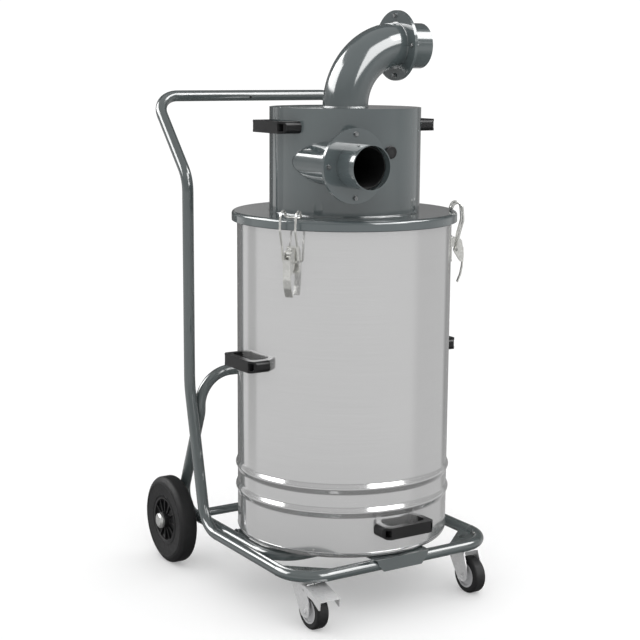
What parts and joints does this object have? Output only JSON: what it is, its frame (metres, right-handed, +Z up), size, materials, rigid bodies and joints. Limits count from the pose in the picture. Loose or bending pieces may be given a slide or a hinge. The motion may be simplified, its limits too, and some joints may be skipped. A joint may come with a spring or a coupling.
{
  "type": "cyclone separator",
  "caption": "Wheeled cyclone separator: a painted cyclone head with tangential inlet and elbow outlet, clamped on a steel dust drum in a bent-tube trolley.",
  "frame": {"origin": "on the floor, under the middle of the whole part's box", "axes": "+Z up; -Y is the front, where the inlet collar points and the casters are; +Y is the push bar's end; +X is the side the outlet points to"},
  "size_m": [0.602, 0.6908, 1.2541],
  "materials": {
    "painted_tube": "gloss enamel, iron grey",
    "painted_head": "gloss enamel, iron grey",
    "stainless_drum": "satin stainless sheet",
    "black_plastic": "moulded, fine grain",
    "zinc_clamp": "bright zinc plate",
    "zinc_caster": "zinc plate",
    "caster_rubber": "black rubber",
    "caster_hub": "moulded light grey",
    "wheel_rubber": "black rubber",
    "wheel_hub_plastic": "moulded black",
    "hub_cap": "pressed cap, dull zinc"
  },
  "bodies": {
    "chassis": {"push_bar": "painted_tube", "left_riser_tube": "painted_tube", "right_riser_tube": "painted_tube", "left_base_rail": "painted_tube", "right_base_rail": "painted_tube", "front_base_bar": "painted_tube", "rear_hoop": "painted_tube", "cradle_rails": "painted_tube", "front_cradle_bar": "painted_tube", "rear_cradle_bar": "painted_tube", "rear_axle": "painted_tube", "axle_caps": "hub_cap", "corner_gussets": "painted_tube", "drum_support_plate": "painted_tube", "drum_shell": "stainless_drum", "drum_bottom": "stainless_drum", "lid": "painted_head", "cyclone_body": "painted_head", "cyclone_top": "painted_head", "inlet_pipe": "painted_head", "inlet_collar": "painted_head", "outlet_elbow": "painted_head", "outlet_collar": "painted_head", "port_plug": "black_plastic", "cyclone_handles": "black_plastic", "drum_handles": "black_plastic", "clamp_brackets": "zinc_clamp", "caster_kingpins": "zinc_caster"},
    "left_lever": {"left_clamp_lever": "zinc_clamp"},
    "left_wire": {"left_clamp_wire": "zinc_clamp"},
    "right_lever": {"right_clamp_lever": "zinc_clamp"},
    "right_wire": {"right_clamp_wire": "zinc_clamp"},
    "rear_lever": {"rear_clamp_lever": "zinc_clamp"},
    "rear_wire": {"rear_clamp_wire": "zinc_clamp"},
    "left_caster": {"left_caster_fork": "zinc_caster"},
    "left_caster_wheel": {"left_caster_tyre": "caster_rubber", "left_caster_hub": "caster_hub"},
    "right_caster": {"right_caster_fork": "zinc_caster"},
    "right_caster_wheel": {"right_caster_tyre": "caster_rubber", "right_caster_hub": "caster_hub"},
    "pedal": {"brake_pedal": "zinc_caster"},
    "left_wheel": {"left_wheel_tyre": "wheel_rubber", "left_wheel_hub": "wheel_hub_plastic"},
    "right_wheel": {"right_wheel_tyre": "wheel_rubber", "right_wheel_hub": "wheel_hub_plastic"}
  },
  "joints": [
    {"name": "left_lever_turn", "type": "hinge", "parent": "chassis", "child": "left_lever", "pos_m": [-0.21368, -0.20047, 0.765], "axis": [-0.5075, 0.8616, 0], "range_deg": [0, 110]},
    {"name": "left_wire_turn", "type": "hinge", "parent": "left_lever", "child": "left_wire", "pos_m": [-0.20808, -0.19717, 0.747], "axis": [-0.5075, 0.8616, 0], "range_deg": [-137.5, 0]},
    {"name": "right_lever_turn", "type": "hinge", "parent": "chassis", "child": "right_lever", "pos_m": [0.21368, -0.20047, 0.765], "axis": [-0.5075, -0.8616, 0], "range_deg": [0, 110]},
    {"name": "right_wire_turn", "type": "hinge", "parent": "right_lever", "child": "right_wire", "pos_m": [0.20808, -0.19717, 0.747], "axis": [-0.5075, -0.8616, 0], "range_deg": [-137.5, 0]},
    {"name": "rear_lever_turn", "type": "hinge", "parent": "chassis", "child": "rear_lever", "pos_m": [0, 0.1734, 0.765], "axis": [1, 0, 0], "range_deg": [0, 110]},
    {"name": "rear_wire_turn", "type": "hinge", "parent": "rear_lever", "child": "rear_wire", "pos_m": [0, 0.1669, 0.747], "axis": [1, 0, 0], "range_deg": [-137.5, 0]},
    {"name": "left_caster_swivel", "type": "hinge", "parent": "chassis", "child": "left_caster", "pos_m": [-0.202, -0.2501, 0.1], "axis": [0, 0, 1], "continuous": true},
    {"name": "left_caster_roll", "type": "hinge", "parent": "left_caster", "child": "left_caster_wheel", "pos_m": [-0.202, -0.2831, 0.04], "axis": [1, 0, 0], "continuous": true},
    {"name": "right_caster_swivel", "type": "hinge", "parent": "chassis", "child": "right_caster", "pos_m": [0.202, -0.2501, 0.1], "axis": [0, 0, 1], "continuous": true},
    {"name": "right_caster_roll", "type": "hinge", "parent": "right_caster", "child": "right_caster_wheel", "pos_m": [0.202, -0.2831, 0.04], "axis": [1, 0, 0], "continuous": true},
    {"name": "brake_pedal_press", "type": "hinge", "parent": "left_caster", "child": "pedal", "pos_m": [-0.202, -0.2821, 0.086], "axis": [1, 0, 0], "range_deg": [0, 10]},
    {"name": "left_wheel_roll", "type": "hinge", "parent": "chassis", "child": "left_wheel", "pos_m": [-0.2655, 0.239, 0.1], "axis": [1, 0, 0], "continuous": true},
    {"name": "right_wheel_roll", "type": "hinge", "parent": "chassis", "child": "right_wheel", "pos_m": [0.2655, 0.239, 0.1], "axis": [1, 0, 0], "continuous": true}
  ],
  "couplings": [
    {"joint": "left_wire_turn", "follows": "left_lever_turn", "ratio": -1.25},
    {"joint": "right_wire_turn", "follows": "right_lever_turn", "ratio": -1.25},
    {"joint": "rear_wire_turn", "follows": "rear_lever_turn", "ratio": -1.25}
  ]
}
